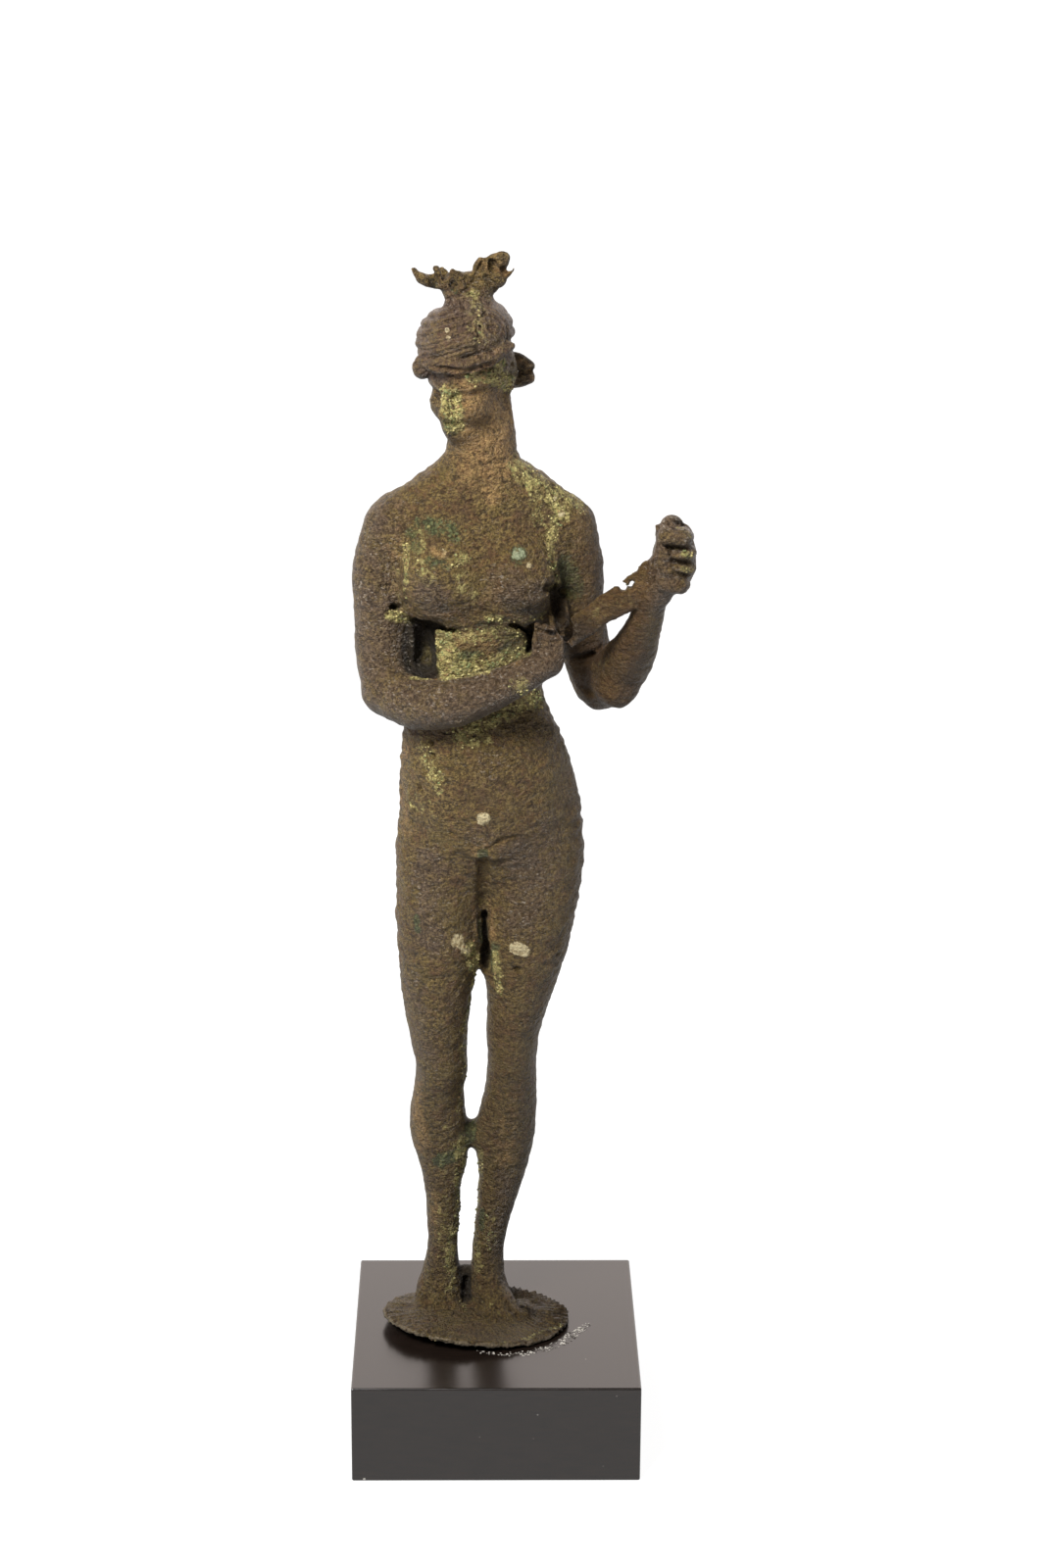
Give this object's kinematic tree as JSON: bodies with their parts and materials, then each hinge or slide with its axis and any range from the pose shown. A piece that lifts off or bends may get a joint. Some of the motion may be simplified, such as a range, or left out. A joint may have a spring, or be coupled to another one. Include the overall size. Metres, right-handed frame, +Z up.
{
  "type": "aphrodite statuette",
  "caption": "Cast bronze statuette of a standing goddess tying a breast band, with a broken crown, corroded skin and thin oval foot plate, fixed on a square black block",
  "frame": {"origin": "centre of the block's underside", "axes": "+Z up, the figure faces -Y, +X is towards the figure's left hand"},
  "size_m": [0.0798, 0.07, 0.2932],
  "materials": {
    "bronze": "corroded and waxed dark brown and olive patina",
    "lacquer": "black satin lacquer"
  },
  "bodies": {
    "root": {"statuette": "bronze", "plinth_block": "lacquer"}
  },
  "joints": []
}
